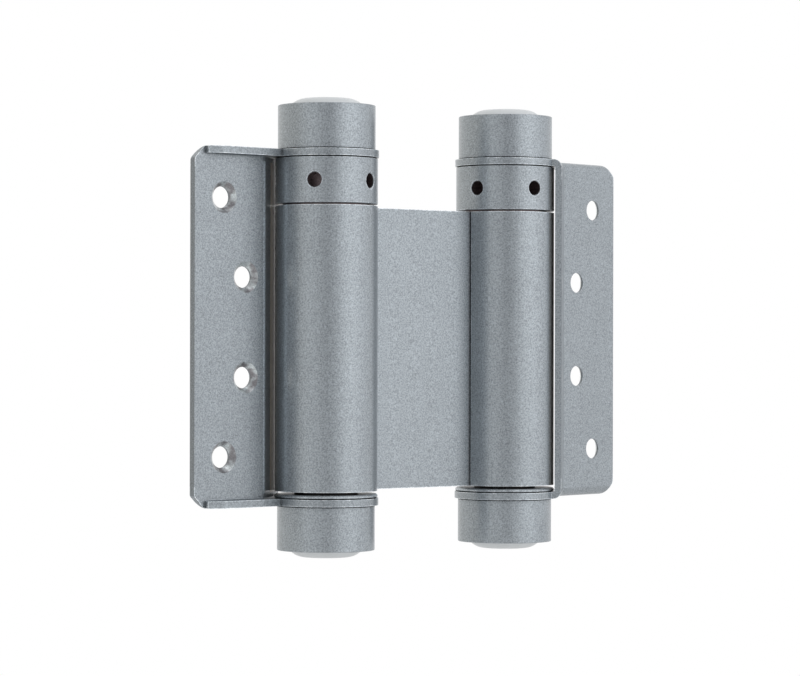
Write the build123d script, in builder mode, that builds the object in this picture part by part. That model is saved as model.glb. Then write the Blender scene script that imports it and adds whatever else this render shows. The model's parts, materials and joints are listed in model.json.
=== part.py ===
from build123d import *
import os
from math import cos, radians, sin

# Double action spring hinge for a swing door, nominal 100 mm.
# Two spring barrels are rolled from the ends of one centre leaf. A screw leaf turns on each
# barrel, so that the door can swing to either side. Sizes are in millimetres, +Z is up.
# The origin is at the middle of the frame leaf's screw pattern, on the back face that lies
# on the door frame. The leaves are drawn swung open, as the hinge is shown and sold.

# Centre leaf
sheet = 2.0                # thickness of all the pressed sheet
axis_spacing = 67.0        # from one barrel axis to the other
barrel_radius = 14.5       # outside of a rolled barrel
barrel_foot_gap = 0.8      # from the washer up to the barrel, where the anchor's foot shows
seam_gap = 0.4             # between the end of a roll and the web
web_bend = 1.6             # bend where the web turns into its roll
web_turn = -3.3            # degrees from the frame leaf to the centre leaf

# Screw leaves
leaf_height = 100.0
leaf_reach = 43.2          # from the barrel axis to the outer edge of the screw plate
leaf_offset = 5.5          # from the barrel axis to the countersunk face
door_leaf_turn = 6.5       # degrees from the frame leaf to the door leaf
ear_margin = 0.3           # round head of an ear past the barrel
neck_gap = 0.5             # between a barrel and the neck of the leaf beside it
neck_overlap = 4.5         # neck past the point where it comes closest to the barrel
neck_angle = 35.5          # degrees that the neck is cranked from the screw plate
lip_width = 3.3            # lip inside the plate, along its top and bottom
lip_end = 39.4             # where the lip runs out, from the barrel axis
lip_end_width = 1.3        # lip left at its end
lip_taper = 4.4            # length of the run-out
lip_rounding = 5.0
bend_inside = 0.5          # inside radius of a bend, the outside is one sheet more
corner_cut = 3.5           # cut corners of the screw plate, up and along
corner_rounding = 1.5      # of the two edges that each cut leaves
outer_hole_reach = 32.8    # from the barrel axis to the outer and inner screw columns
inner_hole_reach = 25.0
outer_hole_spacing = 72.0  # up and down, between the two holes of a column
inner_hole_spacing = 28.0
screw_hole_radius = 3.0
countersink_radius = 4.4
countersink_angle = 90.0

# Spindle, nuts and caps
spindle_radius = 4.0
spindle_stick_out = 9.2    # past each ear
spindle_chamfer = 0.6
fixed_clearance = 0.05     # round the spindle in what is clamped to the leaf
running_clearance = 0.05   # round the spindle in what turns on it
cap_radius = 13.8
cap_height = 12.7
cap_wall = 1.5
cap_floor = 1.5
cap_edge = 0.35            # chamfer of the edge that lies on the ear
cap_rim = 0.15             # chamfer of the open rim
nut_across_flats = 13.0
nut_height = 6.5
nut_chamfer = 0.6

# Domed plug in the open end of each cap
plug_clearance = 0.05
plug_skirt = 2.4           # depth of the skirt inside the cap
plug_wall = 1.2
plug_dome = 2.0            # height of the dome over the rim
plug_flat_radius = 6.0     # nearly flat middle of the dome
plug_dome_radius = 10.4
plug_recess = 0.1          # from the rim down to the shoulder of the dome

# Tension collar
collar_height = 13.0
collar_ear_gap = 0.2
collar_barrel_gap = 0.5
collar_edge = 0.2
hub_clearance = 0.08       # between the hub and the bore of the barrel
hub_depth = 5.0            # from the collar down into the barrel
tommy_count = 5
tommy_radius = 2.1
tommy_depth = 6.0
tommy_edge = 0.25
tommy_rise = 6.4           # from the underside of the collar up to the holes
frame_collar_turn = 35.0   # degrees from the leaf to the first tommy hole
door_collar_turn = 40.0

# Spring, its lower anchor and the washer under the barrel
spring_clearance = 1.3     # between the coil and the bore of the barrel
spring_wire = 2.8          # square wire
spring_turns = 11
spring_end_gap = 0.3
spigot_clearance = 0.3     # between a spigot and the inside of the coil
spigot_height = 3.0
anchor_height = 8.0
anchor_clearance = 0.05    # between the anchor and the bore of the barrel
anchor_foot_radius = 9.0   # foot under the barrel, on the washer
washer_margin = 0.1        # washer past the barrel
washer_thickness = 1.2
washer_edge = 0.4          # chamfer of its rims, clear of the bend inside the neck

# Worked out from the sizes above
barrel_bore = barrel_radius - sheet
ear_top = leaf_height / 2
ear_under = ear_top - sheet
ear_radius = barrel_radius + ear_margin
bend_outside = bend_inside + sheet
leaf_back = leaf_offset + sheet
neck_inner = barrel_radius + neck_gap
neck_outer = neck_inner + sheet
pattern_reach = (outer_hole_reach + inner_hole_reach) / 2
spindle_hole = spindle_radius + fixed_clearance
running_hole = spindle_radius + running_clearance
collar_top = ear_under - collar_ear_gap
collar_bottom = collar_top - collar_height
tommy_height = collar_bottom + tommy_rise
hub_bottom = collar_bottom - hub_depth
hub_radius = barrel_bore - hub_clearance
washer_radius = barrel_radius + washer_margin
washer_top = washer_thickness - ear_under
barrel_top = collar_bottom - collar_barrel_gap
barrel_bottom = washer_top + barrel_foot_gap
anchor_top = washer_top + anchor_height
spring_radius = barrel_bore - spring_clearance
spigot_radius = spring_radius - spring_wire - spigot_clearance
cap_bore = cap_radius - cap_wall
cap_top = ear_top + cap_height
plug_radius = cap_bore - plug_clearance
plug_bottom = cap_top - plug_skirt
plug_shoulder = cap_top - plug_recess
plug_top = cap_top + plug_dome


def pivot_plane(x, y, heading):
    """Horizontal plane on a barrel axis, with its x axis turned to a heading in degrees."""
    direction = (cos(radians(heading)), sin(radians(heading)), 0)
    return Plane(origin=(x, y, 0), x_dir=direction, z_dir=(0, 0, 1))


def upright(plane, turn=0.0):
    """Vertical plane through a barrel axis, for the profile of a turned piece."""
    turned = plane.rotated((0, 0, turn))
    return Plane(origin=turned.origin, x_dir=turned.x_dir, z_dir=-turned.y_dir)


frame_pivot = pivot_plane(pattern_reach, -leaf_back, 180.0)
web_plane = pivot_plane(pattern_reach, -leaf_back, web_turn)
door_x = pattern_reach + axis_spacing * cos(radians(web_turn))
door_y = -leaf_back + axis_spacing * sin(radians(web_turn))
door_pivot = pivot_plane(door_x, door_y, door_leaf_turn)


# Screw leaf

def neck_distance(point):
    """How far a point of the plan lies from the barrel axis, square to the neck."""
    lean = radians(neck_angle)
    return point.X * sin(lean) - point.Y * cos(lean)


def neck_point(distance, depth):
    """Point at that distance square to the neck, and at that depth behind the axis."""
    lean = radians(neck_angle)
    return ((distance - depth * cos(lean)) / sin(lean), -depth)


def neck_end(distance):
    """End of the neck, past where its face comes closest to the barrel axis."""
    lean = radians(neck_angle)
    across, along = (sin(lean), -cos(lean)), (cos(lean), sin(lean))
    return (
        distance * across[0] - neck_overlap * along[0],
        distance * across[1] - neck_overlap * along[1],
    )


def round_crease(sketch, corner, radius):
    """Rounds the corner of a plan that lies nearest to a point."""
    fillet(sketch.vertices().sort_by_distance(Vector(*corner))[0], radius)


def wall_outline():
    """Plan of the screw plate and the neck, one sheet thick and bent between them."""
    inside = neck_point(neck_inner, leaf_offset)
    outside = neck_point(neck_outer, leaf_back)
    with BuildSketch(mode=Mode.PRIVATE) as wall:
        with BuildLine():
            Polyline(
                neck_end(neck_inner), inside, (leaf_reach, -leaf_offset),
                (leaf_reach, -leaf_back), outside, neck_end(neck_outer), close=True,
            )
        make_face()
        round_crease(wall, inside, bend_outside)
        round_crease(wall, outside, bend_inside)
    return wall.sketch


def ear_outline():
    """Plan of an ear: the round head, the neck and the lip along the screw plate."""
    lip_front = lip_width - leaf_offset
    lip_corner = (lip_end - lip_taper, lip_front)
    outside = neck_point(neck_outer, leaf_back)
    with BuildSketch(mode=Mode.PRIVATE) as ear:
        with BuildLine():
            Polyline(
                neck_end(0), (ear_radius / 2, lip_front), lip_corner,
                (lip_end, lip_end_width - leaf_offset),
                (lip_end, -leaf_back), outside, neck_end(neck_outer), close=True,
            )
        make_face()
        round_crease(ear, lip_corner, lip_rounding)
        round_crease(ear, outside, bend_inside)
    return ear.sketch


def bend_edges(part, plane, level, depth, distance):
    """Edges at one level, up or down, that follow one face of the plate and the neck."""
    found = []
    for edge in part.edges():
        middle = plane.to_local_coords(edge.position_at(0.5))
        beside = min(abs(middle.Y + depth), abs(neck_distance(middle) - distance))
        level_with = abs(abs(middle.Z) - level) + edge.bounding_box().size.Z
        if beside < sheet / 8 and level_with < sheet / 8:
            found.append(edge)
    return found


def make_leaf(plane):
    """One pressed screw leaf with two ears, cranked neck and countersunk screw holes."""
    wall = wall_outline()
    ear = ear_outline()
    face_plane = Plane(origin=plane.origin, x_dir=plane.x_dir, z_dir=plane.y_dir)
    holes = [(outer_hole_reach, side * outer_hole_spacing / 2) for side in (-1, 1)]
    holes += [(inner_hole_reach, side * inner_hole_spacing / 2) for side in (-1, 1)]
    with BuildPart() as leaf:
        with BuildSketch(plane.offset(-ear_top)):
            add(wall)
        extrude(amount=leaf_height)
        for foot in (-ear_top, ear_under):
            with BuildSketch(plane.offset(foot)):
                add(ear)
            extrude(amount=sheet)
        fillet(bend_edges(leaf, plane, ear_under, leaf_offset, neck_inner), bend_inside)
        for foot in (-ear_top, ear_under):
            with BuildSketch(plane.offset(foot)):
                Circle(ear_radius)
            extrude(amount=sheet)
        fillet(bend_edges(leaf, plane, ear_top, leaf_back, neck_outer), bend_outside)

        # Cut and rounded corners of the screw plate
        with BuildSketch(face_plane) as side_view:
            Rectangle(2 * leaf_reach, leaf_height)
            chamfer(side_view.vertices().group_by(Axis.X)[-1], corner_cut)
            fillet(side_view.vertices().filter_by(lambda corner: corner.X > 0), corner_rounding)
        extrude(amount=leaf_reach, both=True, mode=Mode.INTERSECT)

        # Screw holes, countersunk from the face towards the barrel, and spindle holes
        with Locations(face_plane.offset(-leaf_offset)):
            with Locations(*holes):
                CounterSinkHole(screw_hole_radius, countersink_radius, None, countersink_angle)
        with Locations(plane.offset(ear_top)):
            Hole(spindle_hole)
    return leaf.part


# Centre leaf

def make_centre_leaf():
    """Web and two barrels, rolled from one sheet in the shape of an S."""
    height = barrel_top - barrel_bottom
    middle = axis_spacing / 2
    bend_x = middle - barrel_radius
    with BuildPart() as centre:
        with BuildSketch(web_plane.offset(barrel_bottom)) as plan:
            with Locations((middle, 0)):
                Rectangle(axis_spacing - 2 * barrel_bore, sheet)
            with Locations((0, 0), (axis_spacing, 0)):
                Circle(barrel_radius)
            # The web turns into its roll at one corner of each barrel
            for x, side in ((middle - bend_x, -1), (middle + bend_x, 1)):
                corner = Vector(x, side * sheet / 2)
                fillet(plan.vertices().sort_by_distance(corner)[0], web_bend)
            with Locations((0, 0), (axis_spacing, 0)):
                Circle(barrel_bore, mode=Mode.SUBTRACT)
            # The end of each roll stops just short of the other face of the web
            for x, side in ((barrel_radius, 1), (axis_spacing - barrel_radius, -1)):
                with Locations((x, side * (sheet + seam_gap) / 2)):
                    Rectangle(3 * sheet, seam_gap, mode=Mode.SUBTRACT)
        extrude(amount=height)
    return centre.part


# Pieces of one barrel, drawn upright on its axis

def make_collar(plane, turn):
    """Tension collar with a hub in the barrel and a ring of blind tommy holes."""
    with BuildPart() as collar:
        with BuildSketch(upright(plane)):
            with BuildLine():
                Polyline(
                    (running_hole, hub_bottom - spigot_height),
                    (spigot_radius, hub_bottom - spigot_height),
                    (spigot_radius, hub_bottom), (hub_radius, hub_bottom),
                    (hub_radius, collar_bottom), (barrel_radius, collar_bottom),
                    (barrel_radius, collar_top), (running_hole, collar_top), close=True,
                )
            make_face()
        revolve(axis=Axis(plane.origin, (0, 0, 1)))
        rims = collar.edges().filter_by(GeomType.CIRCLE).group_by(SortBy.RADIUS)[-1]
        chamfer(rims, collar_edge)
        for number in range(tommy_count):
            side = upright(plane, turn + number * 360 / tommy_count)
            mouth = Plane(
                origin=side.origin + side.x_dir * barrel_radius + Vector(0, 0, tommy_height),
                x_dir=(0, 0, 1), z_dir=side.x_dir,
            )
            with Locations(mouth):
                CounterSinkHole(
                    tommy_radius, tommy_radius + tommy_edge, tommy_depth, countersink_angle
                )
    return collar.part


def make_cap(plane, up):
    """Turned cap that lies on an ear, open at its outer end, at the top or the bottom."""
    with BuildPart() as cap:
        with BuildSketch(upright(plane)):
            with BuildLine():
                Polyline(
                    (spindle_hole, up * ear_top), (cap_radius, up * ear_top),
                    (cap_radius, up * cap_top), (cap_bore, up * cap_top),
                    (cap_bore, up * (ear_top + cap_floor)),
                    (spindle_hole, up * (ear_top + cap_floor)), close=True,
                )
            make_face()
        revolve(axis=Axis(plane.origin, (0, 0, 1)))
        outside = cap.edges().filter_by(GeomType.CIRCLE).group_by(SortBy.RADIUS)[-1]
        chamfer(outside.sort_by(lambda edge: abs(edge.center().Z))[0], cap_edge)
        chamfer(outside.sort_by(lambda edge: abs(edge.center().Z))[-1], cap_rim)
    return cap.part


def make_plug(plane, up):
    """Moulded plug with a domed face and a skirt, pressed into the open end of a cap."""
    inside = plug_radius - plug_wall
    with BuildPart() as plug:
        with BuildSketch(upright(plane)):
            with BuildLine():
                Polyline(
                    (0, up * plug_top), (0, up * (plug_shoulder - plug_wall)),
                    (inside, up * (plug_shoulder - plug_wall)), (inside, up * plug_bottom),
                    (plug_radius, up * plug_bottom), (plug_radius, up * plug_shoulder),
                    (plug_dome_radius, up * plug_shoulder),
                )
                dome_edge = (plug_flat_radius, up * plug_top)
                Line((0, up * plug_top), dome_edge)
                TangentArc(dome_edge, (plug_dome_radius, up * plug_shoulder), tangent=(1, 0))
            make_face()
        revolve(axis=Axis(plane.origin, (0, 0, 1)))
    return plug.part


def make_spindle(plane):
    """Plain rod through the whole barrel, held by a nut outside each ear."""
    reach = ear_top + spindle_stick_out
    with BuildPart() as spindle:
        with BuildSketch(plane.offset(-reach)):
            Circle(spindle_radius)
        extrude(amount=2 * reach)
        chamfer(spindle.edges().filter_by(GeomType.CIRCLE), spindle_chamfer)
    return spindle.part


def make_nut(plane, up):
    """Hexagon nut on the spindle, inside a cap."""
    foot = ear_top + cap_floor
    with BuildPart() as nut:
        with BuildSketch(plane.offset(foot if up > 0 else -foot - nut_height)):
            RegularPolygon(nut_across_flats / 2, 6, major_radius=False)
        extrude(amount=nut_height)
        with BuildSketch(upright(plane)):
            with BuildLine():
                low = min(up * foot, up * (foot + nut_height))
                high = low + nut_height
                Polyline(
                    (0, low), (nut_across_flats / 2, low),
                    (nut_across_flats / 2 + 2 * nut_chamfer, low + nut_chamfer),
                    (nut_across_flats / 2 + 2 * nut_chamfer, high - nut_chamfer),
                    (nut_across_flats / 2, high), (0, high), close=True,
                )
            make_face()
        revolve(axis=Axis(plane.origin, (0, 0, 1)), mode=Mode.INTERSECT)
        with Locations(plane.offset(high)):
            Hole(spindle_hole)
    return nut.part


def make_anchor(plane):
    """Lower spring anchor, fast in the bottom of the barrel, with a spigot for the coil."""
    with BuildPart() as anchor:
        with BuildSketch(upright(plane)):
            with BuildLine():
                Polyline(
                    (running_hole, washer_top), (anchor_foot_radius, washer_top),
                    (anchor_foot_radius, barrel_bottom),
                    (barrel_bore - anchor_clearance, barrel_bottom),
                    (barrel_bore - anchor_clearance, anchor_top), (spigot_radius, anchor_top),
                    (spigot_radius, anchor_top + spigot_height),
                    (running_hole, anchor_top + spigot_height), close=True,
                )
            make_face()
        revolve(axis=Axis(plane.origin, (0, 0, 1)))
    return anchor.part


def make_washer(plane):
    """Thrust washer between the barrel and the lower ear."""
    with BuildPart() as washer:
        with BuildSketch(plane.offset(-ear_under)):
            Circle(washer_radius)
            Circle(running_hole, mode=Mode.SUBTRACT)
        extrude(amount=washer_thickness)
        rims = washer.edges().filter_by(GeomType.CIRCLE).group_by(SortBy.RADIUS)[-1]
        chamfer(rims, washer_edge)
    return washer.part


def make_spring(plane):
    """Torsion spring of square wire, between the anchor and the hub of the collar."""
    mean_radius = spring_radius - spring_wire / 2
    foot = anchor_top + spring_end_gap + spring_wire / 2
    rise = hub_bottom - spring_end_gap - spring_wire / 2 - foot
    start = plane.offset(foot)
    with BuildPart() as spring:
        with BuildLine(start) as path:
            Helix(pitch=rise / spring_turns, height=rise, radius=mean_radius)
        with BuildSketch(Plane(path.line @ 0, x_dir=start.x_dir, z_dir=path.line % 0)):
            Rectangle(spring_wire, spring_wire)
        sweep(path=path.line, is_frenet=True)
    return spring.part


def barrel_pieces(side, plane, collar_turn):
    """All the pieces of one barrel, by name."""
    return {
        side + "_collar": make_collar(plane, collar_turn),
        side + "_top_cap": make_cap(plane, 1),
        side + "_bottom_cap": make_cap(plane, -1),
        side + "_top_plug": make_plug(plane, 1),
        side + "_bottom_plug": make_plug(plane, -1),
        side + "_spindle": make_spindle(plane),
        side + "_top_nut": make_nut(plane, 1),
        side + "_bottom_nut": make_nut(plane, -1),
        side + "_spring": make_spring(plane),
        side + "_spring_anchor": make_anchor(plane),
        side + "_thrust_washer": make_washer(plane),
    }


pieces = {
    "frame_leaf": make_leaf(frame_pivot),
    "door_leaf": make_leaf(door_pivot),
    "centre_leaf": make_centre_leaf(),
}
pieces.update(barrel_pieces("frame", frame_pivot, frame_collar_turn))
pieces.update(barrel_pieces("door", door_pivot, door_collar_turn))

os.makedirs("parts", exist_ok=True)
for name, piece in pieces.items():
    piece.label = name
    export_step(piece, "parts/" + name + ".step")
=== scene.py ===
import json
from math import cos, radians, sin

import bpy
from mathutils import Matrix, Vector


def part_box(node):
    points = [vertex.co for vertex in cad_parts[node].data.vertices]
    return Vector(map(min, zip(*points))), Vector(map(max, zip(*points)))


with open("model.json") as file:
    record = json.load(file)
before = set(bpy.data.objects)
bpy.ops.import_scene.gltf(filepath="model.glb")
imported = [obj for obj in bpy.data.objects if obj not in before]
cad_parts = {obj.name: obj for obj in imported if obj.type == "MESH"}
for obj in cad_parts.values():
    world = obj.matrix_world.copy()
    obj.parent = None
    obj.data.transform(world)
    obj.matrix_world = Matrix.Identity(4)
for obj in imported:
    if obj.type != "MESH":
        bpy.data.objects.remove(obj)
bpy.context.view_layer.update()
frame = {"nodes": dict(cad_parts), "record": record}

# Camera of the photograph, in the part's own frame, in metres and degrees
CAMERA_PLACE = (-0.54676, -0.66542, -0.0050)
CAMERA_HEADING = -42.55
CAMERA_ROLL = 0.13
CAMERA_LENS = 139.20       # mm, on a 36 mm wide sensor
CAMERA_SHIFT_UP = 0.0095   # puts the horizon a few pixels under the middle row
TOWARDS_CAMERA = (-0.6762, -0.7367, 0.0)
TO_THE_RIGHT = (0.7367, -0.6762, 0.0)

# Silver flake lacquer, in metres where it is a length
PAINT_COLOUR = (0.345, 0.380, 0.410)
PAINT_METALLIC = 0.75
PAINT_ROUGHNESS = 0.34
FLAKE_SIZE = 0.00042
FLAKE_CONTRAST = 0.36
CLOUD_SIZE = 0.012
CLOUD_CONTRAST = 0.03
COAT_WEIGHT = 0.25
COAT_ROUGHNESS = 0.15
BUMP_STRENGTH = 0.30
BUMP_HEIGHT = 0.00003
EDGE_WIDTH = 0.00042       # painted highlight along every sharp edge
EDGE_BEND = (0.99, 0.85)   # cosines between which that line grows from nothing to full
WEAR_SIZE = 0.0016
WEAR_RANGE = (0.47, 0.62)  # of the noise, from not worn to worn bare
WORN_HIGHLIGHT_BRIGHTNESS = 2.6      # how much stronger the painted edge highlight is where the edge is worn bare
JOINT_REACH = 0.0012       # how far from a joint or inside corner the shade starts
JOINT_SHADE = 0.12         # tone left at the bottom of a joint
JOINT_OPENNESS = (0.25, 0.85)   # share of open space, from full shade to none

# Screw leaves, with bare patches on the countersinks as in the photograph
CONE_LEAN = 0.7071         # cosine between the wall of a 90 degree countersink and the plate
BARE_STEEL = (0.70, 0.76, 0.78)
CONE_SHADE = (0.27, 0.265, 0.28)
PATCH_SIZE = 0.0030
PATCH_RANGE = (0.43, 0.60)
LEAN_MARGIN = 0.03         # how near to its cosine a face counts
CUT_EDGE_MARGIN = 0.1
WALL_ZONE = 0.0465         # countersinks and necks lie this far up and down at most
NECK_LEAN = 0.8141         # cosine between the neck of a leaf and its screw plate
# Painted reflection: the neck's inner face beside the barrel is coloured beige and made
# non-metallic, in place of the warm light it reflects
NECK_PAINTED_REFLECTION = (0.66, 0.59, 0.49)   # beige strip beside the barrel, as the photo shows it
NECK_REFLECTION_REACH = 0.0159      # from the barrel axis
BEND_LEAN = 0.91           # cosine to the plate halfway round the bend into the neck
BEND_HALF_RANGE = 0.075
BEND_PAINTED_LIGHT = 2.1            # the hollow of the bend is brightened, to come closer to the photo
EAR_ZONE = 0.0440          # a leaf's edges carry the painted highlight, with its wear, from here up and down, at its ears
CAP_ZONE = 0.0560          # a cap's painted edge highlight, with its wear, reaches only up to here, at its foot
CUT_EDGE_TONE = 0.72       # cut edges of a screw plate are darker
# Painted shade: each leaf's lacquer is darkened by its own share, for the light on it
FRAME_LEAF_PAINTED_SHADE = 0.91
DOOR_LEAF_PAINTED_SHADE = 0.97

# Countersunk faces of the two leaves
DOOR_LEAF_TURN = 6.5       # degrees
FRAME_LEAF_FACE = (0.0, -1.0, 0.0)
DOOR_LEAF_FACE = (-sin(radians(DOOR_LEAF_TURN)), cos(radians(DOOR_LEAF_TURN)), 0.0)

# Inside of the tommy holes
HOLE_TONE = (0.150, 0.118, 0.122)
HOLE_PAINT_DEPTH = 0.0004  # paint reaches this far into them


def new_material(name):
    """Empty node material with a Principled shader, as (node tree, shader)."""
    material = bpy.data.materials.new(name)
    material.use_nodes = True
    return material, material.node_tree, material.node_tree.nodes["Principled BSDF"]


def add_node(tree, kind, **values):
    """Adds a node and sets its properties by name."""
    node = tree.nodes.new(kind)
    for key, value in values.items():
        setattr(node, key, value)
    return node


def noise(tree, size, detail=2.0, roughness=0.5):
    """Noise in the piece's own space, with features of that size in metres."""
    place = add_node(tree, "ShaderNodeTexCoord")
    texture = add_node(tree, "ShaderNodeTexNoise")
    texture.inputs["Scale"].default_value = 1.0 / size
    texture.inputs["Detail"].default_value = detail
    texture.inputs["Roughness"].default_value = roughness
    tree.links.new(place.outputs["Object"], texture.inputs["Vector"])
    return texture.outputs["Fac"]


def scaled_range(tree, value, low, high):
    """Spreads the middle of a noise over low to high."""
    spread = add_node(tree, "ShaderNodeMapRange")
    spread.inputs["From Min"].default_value = 0.3
    spread.inputs["From Max"].default_value = 0.7
    spread.inputs["To Min"].default_value = low
    spread.inputs["To Max"].default_value = high
    tree.links.new(value, spread.inputs["Value"])
    return spread.outputs["Result"]


def tinted(tree, colour, strength):
    """A colour, a socket or fixed, times a strength that varies over the surface."""
    scale = add_node(tree, "ShaderNodeVectorMath", operation="SCALE")
    if isinstance(colour, (tuple, list)):
        scale.inputs[0].default_value = colour
    else:
        tree.links.new(colour, scale.inputs[0])
    tree.links.new(strength, scale.inputs["Scale"])
    return scale.outputs["Vector"]


def maths(tree, operation, one, two):
    """Result of one sum on two values, each a socket or a number."""
    node = add_node(tree, "ShaderNodeMath", operation=operation)
    for socket, value in zip(node.inputs, (one, two)):
        if isinstance(value, (int, float)):
            socket.default_value = value
        else:
            tree.links.new(value, socket)
    return node.outputs["Value"]


def spread(tree, value, start, end, low, high):
    """Runs from low to high while a value goes from start to end, and no further."""
    node = add_node(tree, "ShaderNodeMapRange")
    for key, number in zip(("From Min", "From Max", "To Min", "To Max"), (start, end, low, high)):
        node.inputs[key].default_value = number
    tree.links.new(value, node.inputs["Value"])
    return node.outputs["Result"]


def blended(tree, share, first, second):
    """Goes from the first colour to the second by a share, each a socket or a colour."""
    node = add_node(tree, "ShaderNodeMix", data_type="VECTOR")
    tree.links.new(share, node.inputs["Factor"])
    for socket, colour in ((node.inputs["A"], first), (node.inputs["B"], second)):
        if isinstance(colour, tuple):
            socket.default_value = colour
        else:
            tree.links.new(colour, socket)
    return node.outputs["Result"]


def dot(tree, vector, direction):
    """Dot product of a vector with another, a socket or a fixed direction."""
    product = add_node(tree, "ShaderNodeVectorMath", operation="DOT_PRODUCT")
    tree.links.new(vector, product.inputs[0])
    if isinstance(direction, tuple):
        product.inputs[1].default_value = direction
    else:
        tree.links.new(direction, product.inputs[1])
    return product.outputs["Value"]


def own_position(tree):
    """Place on a piece in its own space, which moves and turns with the piece."""
    return add_node(tree, "ShaderNodeTexCoord").outputs["Object"]


def own_normal(tree):
    """Direction of a face in the piece's own space, which turns with the piece."""
    surface = add_node(tree, "ShaderNodeNewGeometry")
    turned = add_node(tree, "ShaderNodeVectorTransform", vector_type="NORMAL",
                      convert_from="WORLD", convert_to="OBJECT")
    tree.links.new(surface.outputs["True Normal"], turned.inputs["Vector"])
    return turned.outputs["Vector"]


def edge_share(tree):
    """One along every sharp edge, within the edge's width, and nought elsewhere."""
    surface = add_node(tree, "ShaderNodeNewGeometry")
    rounded = add_node(tree, "ShaderNodeBevel", samples=6)
    rounded.inputs["Radius"].default_value = EDGE_WIDTH
    return spread(tree, dot(tree, rounded.outputs["Normal"], surface.outputs["Normal"]),
                  *EDGE_BEND, 0.0, 1.0)


def painted_joint_shade(tree):
    """Painted shade in joints and inside corners, one on open surfaces."""
    occlusion = add_node(tree, "ShaderNodeAmbientOcclusion", samples=6)
    occlusion.inputs["Distance"].default_value = JOINT_REACH
    return spread(tree, occlusion.outputs["AO"], *JOINT_OPENNESS, JOINT_SHADE, 1.0)


def paint_colour(tree, brightness=1.0, highlight_and_wear_share=1.0):
    """Colour of the lacquer: fine flakes, faint clouds, painted shade in joints, and a painted
    highlight along edges that is stronger where worn.
    """
    flakes = noise(tree, FLAKE_SIZE, detail=2.0, roughness=0.7)
    grain = scaled_range(tree, flakes, 1 - FLAKE_CONTRAST, 1 + FLAKE_CONTRAST)
    clouds = scaled_range(tree, noise(tree, CLOUD_SIZE, detail=3.0),
                          1 - CLOUD_CONTRAST, 1 + CLOUD_CONTRAST)
    wear = spread(tree, noise(tree, WEAR_SIZE, detail=3.0), *WEAR_RANGE, 1.0, WORN_HIGHLIGHT_BRIGHTNESS)
    # Painted highlight: a bright line along sharp edges, stronger where the noise marks wear
    edge_highlight_and_wear = maths(tree, "MULTIPLY", edge_share(tree), wear)
    edge_highlight_and_wear = maths(tree, "ADD", maths(tree, "MULTIPLY", edge_highlight_and_wear, highlight_and_wear_share), 1.0)
    tone = maths(tree, "MULTIPLY", maths(tree, "MULTIPLY", grain, clouds), edge_highlight_and_wear)
    # Painted shade in joints and inside corners
    tone = maths(tree, "MULTIPLY", tone, painted_joint_shade(tree))
    colour = [brightness * part for part in PAINT_COLOUR]
    return tinted(tree, colour, tone), flakes


def rough_bump(tree, shader, height, strength, distance):
    """Bump from a height."""
    bump = add_node(tree, "ShaderNodeBump")
    bump.inputs["Strength"].default_value = strength
    bump.inputs["Distance"].default_value = distance
    tree.links.new(height, bump.inputs["Height"])
    tree.links.new(bump.outputs["Normal"], shader.inputs["Normal"])


def finish_paint(tree, shader, colour, flakes):
    """Gloss of the lacquer, over a colour."""
    tree.links.new(colour, shader.inputs["Base Color"])
    shader.inputs["Metallic"].default_value = PAINT_METALLIC
    shader.inputs["Roughness"].default_value = PAINT_ROUGHNESS
    shader.inputs["Coat Weight"].default_value = COAT_WEIGHT
    shader.inputs["Coat Roughness"].default_value = COAT_ROUGHNESS
    rough_bump(tree, shader, flakes, BUMP_STRENGTH, BUMP_HEIGHT)


def paint_material(name, brightness=1.0):
    """Silver flake lacquer."""
    material, tree, shader = new_material(name)
    colour, flakes = paint_colour(tree, brightness)
    finish_paint(tree, shader, colour, flakes)
    return material


def cap_paint_material(name):
    """Lacquer of the caps, with a painted highlight, stronger where worn, only at the edge that
    lies on the ear.
    """
    material, tree, shader = new_material(name)
    place = add_node(tree, "ShaderNodeSeparateXYZ")
    tree.links.new(own_position(tree), place.inputs[0])
    height = maths(tree, "ABSOLUTE", place.outputs["Z"], 0.0)
    # Painted edge highlight, with its wear, only at the cap's foot
    colour, flakes = paint_colour(tree, 1.0, maths(tree, "LESS_THAN", height, CAP_ZONE))
    finish_paint(tree, shader, colour, flakes)
    return material


def axis_distance(tree, position, axis):
    """Level distance of the surface from an upright axis, given as (x, y)."""
    from_axis = add_node(tree, "ShaderNodeVectorMath", operation="SUBTRACT")
    tree.links.new(position, from_axis.inputs[0])
    from_axis.inputs[1].default_value = (*axis, 0.0)
    level = add_node(tree, "ShaderNodeVectorMath", operation="MULTIPLY")
    tree.links.new(from_axis.outputs["Vector"], level.inputs[0])
    level.inputs[1].default_value = (1.0, 1.0, 0.0)
    reach = add_node(tree, "ShaderNodeVectorMath", operation="LENGTH")
    tree.links.new(level.outputs["Vector"], reach.inputs[0])
    return reach.outputs["Value"]


def middle_of(node):
    """Middle of a node, seen from above."""
    low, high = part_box(node)
    return ((low[0] + high[0]) / 2, (low[1] + high[1]) / 2)


def compared(tree, value, target, margin):
    """One where a value lies within a margin of its target."""
    result = maths(tree, "COMPARE", value, target)
    result.node.inputs[2].default_value = margin
    return result


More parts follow.
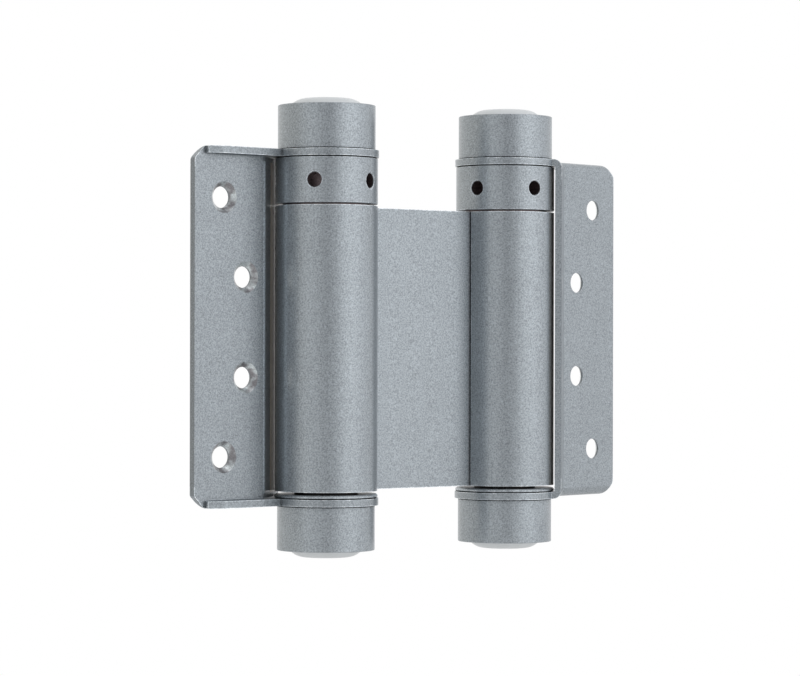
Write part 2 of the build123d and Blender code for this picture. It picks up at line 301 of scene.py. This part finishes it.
def leaf_paint_material(name, side, face, brightness):
    """Lacquer of a screw leaf: a painted edge highlight at the ears, stronger where worn, bare
    patches on the countersinks, painted light in the hollow of the bend, and a painted beige
    reflection on the neck.
    """
    material, tree, shader = new_material(name)
    place = add_node(tree, "ShaderNodeSeparateXYZ")
    tree.links.new(own_position(tree), place.inputs[0])
    height = maths(tree, "ABSOLUTE", place.outputs["Z"], 0.0)
    at_ears = maths(tree, "GREATER_THAN", height, EAR_ZONE)
    between_ears = maths(tree, "LESS_THAN", height, WALL_ZONE)
    # Painted edge highlight, with its wear, only at the ears
    colour, flakes = paint_colour(tree, brightness, at_ears)

    lean = dot(tree, own_normal(tree), face)
    cut_edge = maths(tree, "MULTIPLY", compared(tree, lean, 0.0, CUT_EDGE_MARGIN), between_ears)
    colour = tinted(tree, colour, spread(tree, cut_edge, 0.0, 1.0, 1.0, CUT_EDGE_TONE))

    cone = maths(tree, "MULTIPLY", compared(tree, lean, CONE_LEAN, LEAN_MARGIN), between_ears)
    patches = spread(tree, noise(tree, PATCH_SIZE, detail=3.0), *PATCH_RANGE, 0.0, 1.0)
    worn = blended(tree, patches, tinted(tree, CONE_SHADE, scaled_range(tree, flakes, 0.8, 1.2)),
                   tinted(tree, BARE_STEEL, scaled_range(tree, flakes, 0.75, 1.15)))
    colour = blended(tree, cone, colour, worn)

    # Painted light: the hollow of the bend into the neck is brightened
    bend = maths(tree, "MULTIPLY", compared(tree, lean, BEND_LEAN, BEND_HALF_RANGE), between_ears)
    colour = tinted(tree, colour, spread(tree, bend, 0.0, 1.0, 1.0, BEND_PAINTED_LIGHT))

    # Painted reflection: the neck's inner face near the barrel is coloured beige and made
    # non-metallic
    neck = maths(tree, "MULTIPLY", compared(tree, lean, NECK_LEAN, LEAN_MARGIN), between_ears)
    reach = axis_distance(tree, own_position(tree), middle_of(side + "_collar"))
    neck_reflection = maths(tree, "MULTIPLY", neck, maths(tree, "LESS_THAN", reach, NECK_REFLECTION_REACH))
    finish_paint(tree, shader, blended(tree, neck_reflection, colour, NECK_PAINTED_REFLECTION), flakes)
    metal = spread(tree, neck_reflection, 0.0, 1.0, PAINT_METALLIC, 0.0)
    tree.links.new(metal, shader.inputs["Metallic"])
    return material


def collar_material(name, node):
    """Lacquer of a drilled collar, with dark walls in its tommy holes."""
    material, tree, shader = new_material(name)
    colour, flakes = paint_colour(tree)
    low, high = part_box(node)
    painted_radius = (high[0] - low[0]) / 2 - HOLE_PAINT_DEPTH
    reach = axis_distance(tree, own_position(tree), middle_of(node))
    inside = maths(tree, "LESS_THAN", reach, painted_radius)
    bare = tinted(tree, HOLE_TONE, scaled_range(tree, flakes, 0.7, 1.3))
    finish_paint(tree, shader, blended(tree, inside, colour, bare), flakes)
    return material


def plain_material(name, colour, metallic, roughness, size, contrast):
    """Plain metal or plastic with a faint uneven tone."""
    material, tree, shader = new_material(name)
    tone = scaled_range(tree, noise(tree, size), 1 - contrast, 1 + contrast)
    tree.links.new(tinted(tree, colour, tone), shader.inputs["Base Color"])
    shader.inputs["Metallic"].default_value = metallic
    shader.inputs["Roughness"].default_value = roughness
    return material


materials = {
    "paint": paint_material("silver_flake_paint"),
    "cap_paint": cap_paint_material("cap_paint"),
    "plug": plain_material("pale_plastic", (0.62, 0.65, 0.67), 0.0, 0.35, 0.004, 0.03),
    "steel": plain_material("zinc_plated_steel", (0.45, 0.45, 0.46), 1.0, 0.35, 0.001, 0.08),
    "spring_steel": plain_material("spring_steel", (0.16, 0.16, 0.17), 1.0, 0.4, 0.001, 0.10),
}

# Pieces with a material of their own. A leaf's face is the one that its screws go in from.
own_materials = {
    "frame_leaf": leaf_paint_material("frame_leaf_paint", "frame", FRAME_LEAF_FACE,
                                       FRAME_LEAF_PAINTED_SHADE),
    "door_leaf": leaf_paint_material("door_leaf_paint", "door", DOOR_LEAF_FACE, DOOR_LEAF_PAINTED_SHADE),
    "frame_collar": collar_material("frame_collar_paint", "frame_collar"),
    "door_collar": collar_material("door_collar_paint", "door_collar"),
}

# The anchors are dark, to come closer to the dark gap under each barrel in the photograph
# Painted shade: the anchors' near-black colour stands in for the shade in the gap under each
# barrel
dark_steel_painted_shade = plain_material("dark_steel_painted_shade", (0.045, 0.040, 0.040), 0.6, 0.5, 0.001, 0.15)
for anchor in ("frame_spring_anchor", "door_spring_anchor"):
    own_materials[anchor] = dark_steel_painted_shade

slot_of = {entry["node"]: entry["material_slot"] for entry in frame["record"]["subparts"]}
for name, node in frame["nodes"].items():
    material = own_materials.get(name) or materials[slot_of[name]]
    for slot in node.material_slots:
        slot.material = material
    if not node.material_slots:
        node.data.materials.append(material)


# Floor, far under the hinge, which floats before a white background as in the photograph

def white_stage():
    """White floor that the hinge's light bounces from."""
    bpy.ops.mesh.primitive_plane_add(size=12.0, location=(0.05, 0.0, -0.6))
    floor = bpy.context.object
    floor.name = "studio_floor"
    material, tree, shader = new_material("white_floor")
    shader.inputs["Base Color"].default_value = (0.8, 0.8, 0.8, 1.0)
    shader.inputs["Roughness"].default_value = 0.8
    rays = add_node(tree, "ShaderNodeLightPath")
    white = add_node(tree, "ShaderNodeEmission")
    mix = add_node(tree, "ShaderNodeMixShader")
    tree.links.new(rays.outputs["Is Camera Ray"], mix.inputs["Fac"])
    tree.links.new(shader.outputs["BSDF"], mix.inputs[1])
    tree.links.new(white.outputs["Emission"], mix.inputs[2])
    tree.links.new(mix.outputs["Shader"], tree.nodes["Material Output"].inputs["Surface"])
    floor.data.materials.append(material)


white_stage()


# World: soft boxes left and right of the camera, darker between them, white behind the hinge

# Degrees round the hinge from the camera, positive to its right, and the light from there
STUDIO_ROUND = (
    (-180, (1.00, 1.00, 1.00)), (-120, (0.85, 0.83, 0.79)), (-75, (0.70, 0.68, 0.64)),
    (-40, (0.98, 0.98, 0.97)), (-20, (0.80, 0.80, 0.80)), (3, (0.34, 0.34, 0.35)),
    (20, (0.62, 0.62, 0.63)), (42, (1.40, 1.40, 1.40)), (65, (1.60, 1.60, 1.60)),
    (82, (1.30, 1.30, 1.31)), (100, (1.02, 1.02, 1.03)), (130, (0.85, 0.85, 0.85)),
    (180, (1.00, 1.00, 1.00)),
)


def studio_world():
    """World that lights the hinge, and that is plain white to the camera."""
    world = bpy.data.worlds.new("studio")
    bpy.context.scene.world = world
    world.use_nodes = True
    tree = world.node_tree
    place = add_node(tree, "ShaderNodeTexCoord")
    direction = place.outputs["Generated"]
    angle = add_node(tree, "ShaderNodeMath", operation="ARCTAN2")
    tree.links.new(dot(tree, direction, TO_THE_RIGHT), angle.inputs[0])
    tree.links.new(dot(tree, direction, TOWARDS_CAMERA), angle.inputs[1])
    turn = add_node(tree, "ShaderNodeMapRange")
    turn.inputs["From Min"].default_value = radians(-180)
    turn.inputs["From Max"].default_value = radians(180)
    tree.links.new(angle.outputs["Value"], turn.inputs["Value"])
    ramp = add_node(tree, "ShaderNodeValToRGB")
    ramp.color_ramp.interpolation = "EASE"
    stops = ramp.color_ramp.elements
    while len(stops) < len(STUDIO_ROUND):
        stops.new(0.5)
    for stop, (degrees_round, light) in zip(stops, STUDIO_ROUND):
        stop.position = (degrees_round + 180) / 360
        stop.color = (*light, 1.0)
    tree.links.new(turn.outputs["Result"], ramp.inputs["Fac"])
    studio = tree.nodes["Background"]
    tree.links.new(ramp.outputs["Color"], studio.inputs["Color"])
    white = add_node(tree, "ShaderNodeBackground")
    rays = add_node(tree, "ShaderNodeLightPath")
    seen = add_node(tree, "ShaderNodeMath", operation="ADD", use_clamp=True)
    tree.links.new(rays.outputs["Is Camera Ray"], seen.inputs[0])
    tree.links.new(rays.outputs["Is Transmission Ray"], seen.inputs[1])
    mix = add_node(tree, "ShaderNodeMixShader")
    tree.links.new(seen.outputs["Value"], mix.inputs["Fac"])
    tree.links.new(studio.outputs["Background"], mix.inputs[1])
    tree.links.new(white.outputs["Background"], mix.inputs[2])
    white.inputs["Color"].default_value = (1.0, 1.0, 1.0, 1.0)
    tree.links.new(mix.outputs["Shader"], tree.nodes["World Output"].inputs["Surface"])


studio_world()


def photo_camera():
    """Camera at the photograph's place."""
    data = bpy.data.cameras.new("photo_camera")
    camera = bpy.data.objects.new("photo_camera", data)
    bpy.context.scene.collection.objects.link(camera)
    camera.location = CAMERA_PLACE
    camera.rotation_euler = (radians(90), radians(-CAMERA_ROLL), radians(CAMERA_HEADING))
    data.sensor_width = 36.0
    data.lens = CAMERA_LENS
    data.shift_y = CAMERA_SHIFT_UP
    data.clip_start = 0.05
    bpy.context.scene.camera = camera


photo_camera()
bpy.context.scene.view_settings.view_transform = "Standard"
